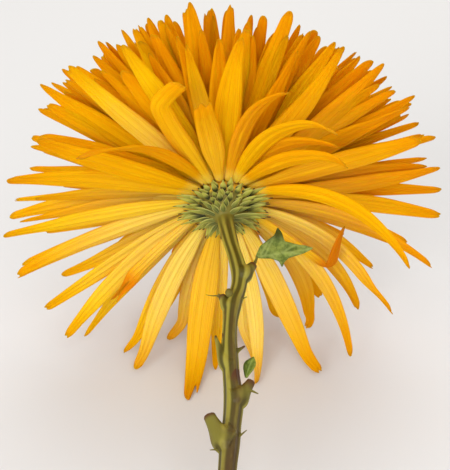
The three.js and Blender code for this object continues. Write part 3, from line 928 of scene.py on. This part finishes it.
index = 0
for node, name, rings in BRACT_ROWS:
    sheets = Sheets()
    for ring, (depth, lean, bow, length, width, count) in enumerate(rings):
        for i in range(count):
            index += 1
            azimuth = (i + 0.37 * ring + 0.25 * chance(index, 22)) * 360 / count
            high = smooth(math.sin(math.radians(azimuth)), 0.2, 0.9)
            grown = length * (0.95 + 0.3 * chance(index, 23)) * (1 - 0.5 * high)
            tilted = lean + 9 * chance(index, 24)
            layout = bract_layout(azimuth, depth, tilted, bow, grown, width, index)
            browned = 1.0 if chance(index, 25) > 0 else 0.15
            # Painted shade darkens the bracts' feet: strongly on some bracts of rows near the rim,
            # a little on the outer rows.
            foot_shade = 0.3
            if depth < LAST_SHADED_DEPTH:
                foot_shade = 0.95 * smooth(chance(index, 27), -0.5, 0.3)
            sheets.add(
                6,
                10,
                layout,
                tone=browned,
                thin=0.9 - 0.16 * depth + 0.25 * chance(index, 26),
                reverse=lambda u, v: foot_shade * smooth(v, 0.55, 0.2),
            )
    belong(sheets.finish(name, BRACT, BRACT_THICKNESS), "bract", node)

# ---------------------------------------------------------------- the stem
# The stem's middle: millimetres behind the rim, to the right, and up.
STEM_COURSE = [
    (0, 0, 0),
    (6, 0.4, 0),
    (15, 1.9, 0.2),
    (21, 3.3, 0.3),
    (26, 4.2, 0),
    (31, 3.7, -0.3),
    (36, 2.2, -0.2),
    (47, 1.4, 0),
    (58, 1.7, 0.2),
    (66, 2.3, 0.2),
    (75, 1.6, -0.2),
    (84, 0.8, -0.3),
    (96, 0.2, 0),
    (110, 0.9, 0.3),
    (122, 1.3, 0.1),
    (136, 0.4, 0),
    (150, 0, 0),
]
STEM_END = STEM_COURSE[-1][0]
# Its nodes: the place along it, the swelling and its half length, in millimetres.
STEM_NODES = [
    (25, 0.4, 5),
    (36, 0.55, 4),
    (53, 0.2, 5),
    (66, 0.45, 6),
    (78, 0.3, 5),
    (104, 0.4, 6),
    (126, 0.35, 6),
]
NECK_SWELLING = 0.75
NECK_LENGTH = 15
FLARE_RINGS = 10
STEM_RINGS = 190
STEM_SIDES = 48
STUB_SIDES = 14
VOXEL = 0.24 * MM
RIDGES = 6
RIDGE_HEIGHT = 0.17


def stem_point(along):
    """The middle of the stem so many millimetres behind the rim, on a curve through its course."""
    course = STEM_COURSE
    i = 0
    while i < len(course) - 2 and course[i + 1][0] < along:
        i += 1
    p0, p1, p2, p3 = (course[min(max(k, 0), len(course) - 1)] for k in (i - 1, i, i + 1, i + 2))
    t = (along - p1[0]) / (p2[0] - p1[0])

    def bend(k):
        m1 = (p2[k] - p0[k]) / max(p2[0] - p0[0], 1) * (p2[0] - p1[0])
        m2 = (p3[k] - p1[k]) / max(p3[0] - p1[0], 1) * (p2[0] - p1[0])
        return (
            (2 * t**3 - 3 * t**2 + 1) * p1[k]
            + (t**3 - 2 * t**2 + t) * m1
            + (-2 * t**3 + 3 * t**2) * p2[k]
            + (t**3 - t**2) * m2
        )

    return HEAD - FACE * (along * MM) + SIDE * (bend(1) * MM) + RISE * (bend(2) * MM)


def stem_radius(along):
    """In millimetres, with the thick neck and the swollen nodes."""
    plain = mix(NECK_RADIUS / MM, CUT_RADIUS / MM, smooth(along, 20, STEM_END))
    plain += NECK_SWELLING * hill(along, 0, NECK_LENGTH)
    return plain + sum(swell * hill(along, at, half) for at, swell, half in STEM_NODES)


def round_body(bm, rings, sides):
    """A closed body through rings of (centre, axis, radius, reference)."""
    rows = len(rings) - 1
    made = bmesh.ops.create_grid(bm, x_segments=sides, y_segments=rows, size=1)
    verts = made["verts"]
    for vert in verts:
        angle = vert.co.x * math.pi
        v = (vert.co.y + 1) / 2
        centre, axis, radius, reference = rings[round(v * rows)]
        right = (reference - axis * reference.dot(axis)).normalized()
        up = axis.cross(right)
        vert.co = centre + right * (math.cos(angle) * radius) + up * (math.sin(angle) * radius)
    bmesh.ops.remove_doubles(bm, verts=verts, dist=1e-6)
    rims = [e for e in bm.edges if e.is_boundary]
    bmesh.ops.holes_fill(bm, edges=rims)


def stem_rings():
    rings = []
    for angle in (80, 66, 52, 38, 26, 14, 5):
        seat = dome_seat(angle, 0)
        rings.append((head_point(0, 0, seat.y), -FACE, seat.x, SIDE))
    for i in range(FLARE_RINGS):
        depth = i * FLARE_DEPTH / FLARE_RINGS
        radius = max(flare_radius(depth), stem_radius(depth / MM) * MM)
        rings.append((head_point(0, 0, -depth), -FACE, radius, SIDE))
    for i in range(STEM_RINGS + 1):
        along = mix(6, STEM_END, i / STEM_RINGS)
        axis = (stem_point(min(along + 1, STEM_END)) - stem_point(along - 1)).normalized()
        rings.append((stem_point(along), axis, stem_radius(along) * MM, SIDE))
    return rings


# What is left of shoots and leaf stalks: millimetres along the stem and azimuth, how far each
# reaches out and climbs, its radii, and how far back from its end it is dead.
STUBS = [
    dict(along=26, azimuth=8, reach=3.8, climb=3.2, foot=2.0, end=1.1),
    dict(along=37, azimuth=166, reach=2.8, climb=3.6, foot=1.6, end=1.0),
    dict(along=56, azimuth=172, reach=3.8, climb=9.4, foot=1.6, end=0.4),
    dict(along=51.6, azimuth=12, reach=4, climb=1.6, foot=0.6, end=0.3),
    dict(along=66, azimuth=14, reach=4.6, climb=5, foot=2.1, end=1.1, dead=3.6),
    dict(along=78, azimuth=163, reach=5.2, climb=7, foot=2.4, end=1.5),
    dict(along=75, azimuth=12, reach=1.3, climb=0.8, foot=2.3, end=1.7),
    dict(along=106, azimuth=25, reach=4.6, climb=3.4, foot=1.6, end=1.1),
    dict(along=128, azimuth=158, reach=4.4, climb=3.2, foot=1.6, end=1.1),
]


def stub_rings(stub, count=12):
    root = stem_point(stub["along"])
    out = direction(stub["azimuth"], 90)
    reach, climb = stub["reach"], stub["climb"]
    places = []
    for i in range(count + 1):
        s = i / count
        places.append(root + out * (reach * s**0.8 * MM) + FACE * (climb * s**1.3 * MM))
    rings = []
    for i, place in enumerate(places):
        s = i / count
        axis = (places[min(i + 1, count)] - places[max(i - 1, 0)]).normalized()
        flare = 1 + 0.5 * (1 - smooth(s, 0.2, 0.75))
        rings.append((place, axis, mix(stub["foot"], stub["end"], s) * flare * MM, RISE))
    return rings


def apply_modifiers(piece):
    """Puts the piece's modifiers into its mesh."""
    graph = bpy.context.evaluated_depsgraph_get()
    mesh = bpy.data.meshes.new_from_object(piece.evaluated_get(graph))
    piece.modifiers.clear()
    piece.data = mesh


bm = bmesh.new()
round_body(bm, stem_rings(), STEM_SIDES)
for stub in STUBS:
    round_body(bm, stub_rings(stub), STUB_SIDES)
stem = new_piece("flower_stem", bm, STEM)
fuse = stem.modifiers.new("fuse", "REMESH")
fuse.mode = "VOXEL"
fuse.voxel_size = VOXEL
melt = stem.modifiers.new("melt", "SMOOTH")
melt.iterations = 4
melt.factor = 0.5
apply_modifiers(stem)

# Ridges run down the stem and drift a little round it. The lower part is brown bark, painted shade
# darkens the groove above its right side and the lower part's right side, and the broken ends of
# the longer stubs are dark.
marks = {name: [] for name in ("ridge", "bark_and_shade", "cut", "dome")}
DEAD_LENGTH = 1.5
LEAST_BROKEN_REACH = 2
broken = [stub for stub in STUBS if stub["reach"] > LEAST_BROKEN_REACH]
stub_ends = [(stub_rings(stub)[-1], stub.get("dead", DEAD_LENGTH)) for stub in broken]
for vert in stem.data.vertices:
    along = (HEAD - vert.co).dot(FACE) / MM
    out = vert.co - stem_point(min(max(along, 0), STEM_END))
    angle = math.atan2(out.dot(RISE), out.dot(SIDE))
    near = smooth(out.length / MM, 4.2, 2.8) if along > 7 else 1
    drift = 0.6 * math.sin(along * 0.06) + 0.5
    ridge = math.cos(RIDGES * angle + drift) + 0.35 * math.cos(3 * angle - 2 * drift)
    held = smooth(along, 5, 12) * (1 - smooth(along, STEM_END - 0.6, STEM_END)) * near
    vert.co += out.normalized() * (RIDGE_HEIGHT * ridge * held * MM)
    # Painted shade in the groove above the right side, and more of it on the right of the lower
    # bark.
    shaded_groove = hill(math.degrees(angle), 62, 26) * smooth(along, 30, 42)
    lower = smooth(along, 60, 84) * (0.35 + 0.4 * smooth(math.degrees(angle), 150, 90))
    cut = 0
    for (place, axis, radius, _), dead in stub_ends:
        beyond = (vert.co - place).dot(axis)
        if (vert.co - place).length < 1.4 * radius + dead * MM:
            cut = max(cut, 0.95 * smooth(beyond / MM, -dead, -0.3))
    if along > STEM_END - 0.4:
        cut = 0.4
    marks["ridge"].append(ridge * held)
    marks["bark_and_shade"].append(min(0.85 * shaded_groove + lower, 1) * near)
    marks["cut"].append(cut)
    marks["dome"].append(smooth(along, 2, 0.5))
for name, values in marks.items():
    stem.data.attributes.new(name, "FLOAT", "POINT").data.foreach_set("value", values)
smooth_faces(stem.data)
belong(stem, "stem", "stem")

# ---------------------------------------------------------------- the leaf
# Millimetres along the leaf and to its side. A margin is read off between its points.
LEAF_LENGTH = 15.6
LEAF_THICKNESS = 0.28 * MM
VEIN_WIDTH = 0.28
SIDE_LEAF_LENGTH = 6
LEAF_TOP = [
    (0, 0.2), (1.4, 3.1), (3.6, 4.7), (5.3, 5.9), (6.4, 8.4), (7.5, 6.7), (7.9, 4.3),
    (10.9, 3.6), (13.4, 3.1), (15.6, 2.2),
]
LEAF_BOTTOM = [
    (0, -0.2), (2, -0.4), (4.2, -0.4), (6.4, -1.1), (7.3, -3.1), (7.8, -1.5), (9, -0.3),
    (11.4, 0.3), (13.4, 0.9), (15.6, 2.0),
]
LEAF_VEINS = [
    ((0, 0), (15.6, 2.1)), ((2.6, 0.4), (6.4, 8)), ((1.2, 0.2), (3.6, 4.2)),
    ((4.4, 0.6), (7.3, -2.8)), ((7, 1), (11, 3.3)), ((9.4, 1.3), (12.4, 0.7)),
]


def margin(points, x):
    """How far to the side the leaf's outline is, at a place along the leaf."""
    for (x0, y0), (x1, y1) in zip(points, points[1:]):
        if x <= x1:
            return mix(y0, y1, (x - x0) / (x1 - x0))
    return points[-1][1]


def vein_at(x, y):
    """1 on a vein, fading away beside it."""
    place = Vector((x, y))
    nearest = 9
    for start, end in LEAF_VEINS:
        a, b = Vector(start), Vector(end)
        share = min(max((place - a).dot(b - a) / (b - a).length_squared, 0), 1)
        nearest = min(nearest, (place - a.lerp(b, share)).length)
    return hill(nearest, 0, VEIN_WIDTH)


look_back = direction(90, 118)
stub_end = stub_rings(STUBS[0])[-1][0]
leaf_foot = stem_point(20) + SIDE * (5.4 * MM)
leaf_along = direction(355, 85).normalized()
leaf_upper = (look_back - leaf_along * look_back.dot(leaf_along)).normalized()
leaf_side = leaf_upper.cross(leaf_along)


def leaf_plan(u, v):
    x = v * LEAF_LENGTH
    return x, mix(margin(LEAF_BOTTOM, x), margin(LEAF_TOP, x), (u + 1) / 2)


def leaf_layout(u, v):
    x, y = leaf_plan(u, v)
    lobe = smooth(y, 4.2, 8.4)
    z = -0.5 * math.sin(v * math.pi) + 0.6 * noise.noise(Vector((x * 0.3, y * 0.35, 2)))
    z += 0.08 * vein_at(x, y) - 2.2 * lobe**1.5 - 0.12 * max(-y, 0) ** 2 + 0.04 * y * y
    return leaf_foot + leaf_along * (x * MM) + leaf_side * (y * MM) + leaf_upper * (z * MM)


def leaf_vein(u, v):
    return vein_at(*leaf_plan(u, v))


# Painted shade over the lobe that curls away, along the lower side and at the margins.
def leaf_painted_shade(u, v):
    x, y = leaf_plan(u, v)
    return max(0.85 * smooth(y, 3.4, 6), 0.8 * smooth(y, -1.6, -2.8), 0.7 * smooth(abs(u), 0.9, 1))


sheets = Sheets()
sheets.add(24, 48, leaf_layout, tone=leaf_vein, reverse=leaf_painted_shade)
belong(sheets.finish("small_leaf", LEAF, LEAF_THICKNESS), "leaf", "leaf")

side_leaf_foot = stem_point(60) + direction(14, 90) * (3.7 * MM)
side_along = direction(60, 22)
side_upper = (look_back - side_along * look_back.dot(side_along)).normalized()
side_across = side_upper.cross(side_along)


def side_leaf_layout(u, v):
    wide = 1.45 * math.sin(math.pi * (v * 0.9 + 0.1) ** 1.25) ** 1.1
    lift = 0.9 * abs(u) ** 1.5 * wide - 0.7 * v * v
    bent = side_along * (SIDE_LEAF_LENGTH * v) + side_across * (u * wide - 0.9 * v * v)
    return side_leaf_foot + (bent + side_upper * lift) * MM


sheets = Sheets()
sheets.add(
    12,
    18,
    side_leaf_layout,
    tone=lambda u, v: hill(u, 0, 0.16),
    # Painted shade on the half of the folded leaf that turns away.
    reverse=lambda u, v: 0.8 * smooth(u, 0.5, 1),
)
belong(sheets.finish("folded_leaf", LEAF, LEAF_THICKNESS), "leaf", "side_leaf")


# ---------------------------------------------------------------- small growths on the stem
TWIG_STEPS = 10
TWIG_SIDES = 8
BUD_RADIUS = 1.15 * MM


def twig(bm, start, end, thick, thin, sag):
    rings = []
    axis = (end - start).normalized()
    for i in range(TWIG_STEPS + 1):
        s = i / TWIG_STEPS
        drop = RISE * (sag * math.sin(s * math.pi) * MM)
        rings.append((start.lerp(end, s) + drop, axis, mix(thick, thin, s) * MM, FACE))
    round_body(bm, rings, TWIG_SIDES)


def spot(along, azimuth, out, forward=0.0):
    """A place beside the stem, in millimetres along it, out from its middle and forward."""
    return stem_point(along) + direction(azimuth, 90) * (out * MM) + FACE * (forward * MM)


# The leaf's stalk, the thick and the thread-like part of a dead shoot, and four short spikes.
bm = bmesh.new()
twig(bm, stub_end, leaf_foot + leaf_along * (0.4 * MM), 0.5, 0.3, -0.3)
twig(bm, spot(34.6, 170, 1.8), spot(33.4, 172, 4.6, 0.2), 0.75, 0.45, 0.2)
twig(bm, spot(33.4, 172, 4.4, 0.2), spot(33, 178, 7.8, 0.3), 0.2, 0.07, -0.3)
twig(bm, spot(34.6, 14, 1.8), spot(34.2, 14, 3.4, 0.3), 0.3, 0.1, 0.1)
twig(bm, spot(63.5, 20, 3.6), spot(65, 10, 6.2, 0.2), 0.5, 0.12, 0.1)
twig(bm, spot(76.4, 12, 2.2), spot(75.4, 12, 4.0, 0.6), 0.3, 0.1, 0.1)
twig(bm, spot(80, 170, 2.6), spot(80, 170, 4.6, -0.3), 0.3, 0.1, 0.1)
# The dried bud that stands on the stem's back, where the thread starts.
bud = bmesh.ops.create_uvsphere(bm, u_segments=16, v_segments=10, radius=BUD_RADIUS)
bmesh.ops.scale(bm, verts=bud["verts"], vec=(0.9, 1.3, 0.9))
bmesh.ops.translate(bm, verts=bud["verts"], vec=spot(33.6, 126, 2.7))
belong(new_piece("stem_points", bm, DRY), "stem")

# ---------------------------------------------------------------- the table
TABLE_SIZE = 6
bpy.ops.mesh.primitive_plane_add(size=TABLE_SIZE)
table = bpy.context.object
table.name = "table"
surface = Finish("table", 0.85, 0.15)
surface.colour(TABLE_COLOUR)
table.data.materials.append(surface.material)
